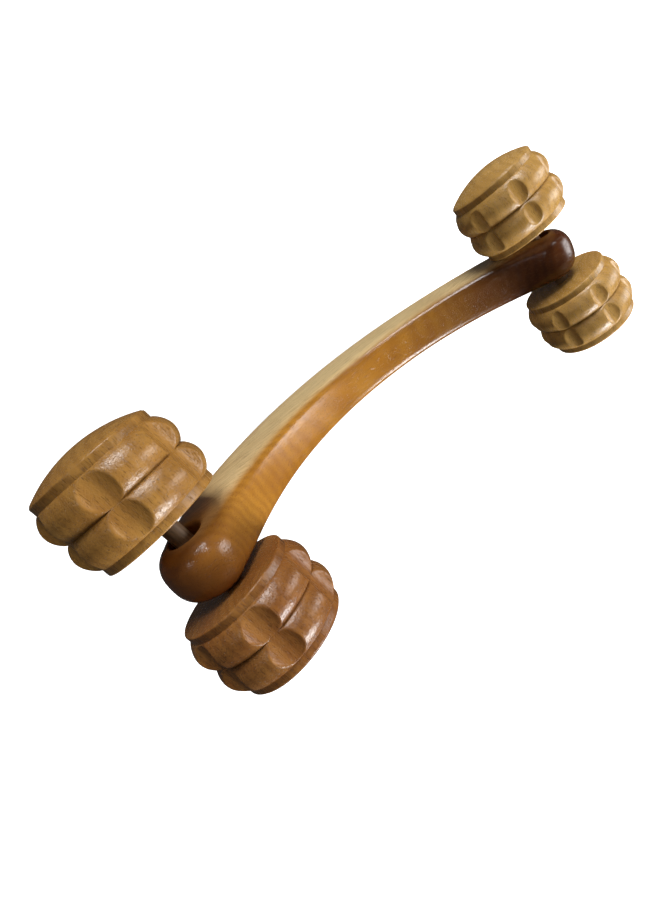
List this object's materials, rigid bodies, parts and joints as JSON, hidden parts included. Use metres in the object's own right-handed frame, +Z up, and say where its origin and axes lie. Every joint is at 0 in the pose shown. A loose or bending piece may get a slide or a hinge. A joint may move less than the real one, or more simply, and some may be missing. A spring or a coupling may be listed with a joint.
{
  "type": "wooden roller massager",
  "caption": "Hand massager: a bow-shaped wooden handle with a pair of carved, scooped wooden rollers turning on a loose dowel axle at each end.",
  "frame": {"origin": "under the middle of the handle, on the surface that the back of the bow rests on", "axes": "+X along the handle towards the front pair of rollers, +Y along the axles to the left, +Z up on the hollow side of the bow, which lies on its back with the rollers clear of the surface"},
  "size_m": [0.3212, 0.1263, 0.1136],
  "materials": {
    "stained_wood": "glossy lacquer over a sprayed amber to brown stain",
    "dowel_wood": "bare, burnished by turning",
    "golden_roller_wood": "lacquered",
    "walnut_roller_wood": "lacquered",
    "olive_roller_wood": "lacquered"
  },
  "bodies": {
    "handle": {"handle": "stained_wood"},
    "rear_wheelset": {"rear_axle": "dowel_wood", "rear_left_roller": "golden_roller_wood", "rear_right_roller": "walnut_roller_wood"},
    "front_wheelset": {"front_axle": "dowel_wood", "front_left_roller": "olive_roller_wood", "front_right_roller": "olive_roller_wood"}
  },
  "joints": [
    {"name": "rear_axle_spin", "type": "hinge", "parent": "handle", "child": "rear_wheelset", "pos_m": [-0.125, -0.0019, 0.076], "axis": [-0.1024, 0.9746, -0.1994], "continuous": true},
    {"name": "front_axle_spin", "type": "hinge", "parent": "handle", "child": "front_wheelset", "pos_m": [0.125, -0.0019, 0.076], "axis": [-0.1545, 0.9755, -0.1564], "continuous": true}
  ]
}
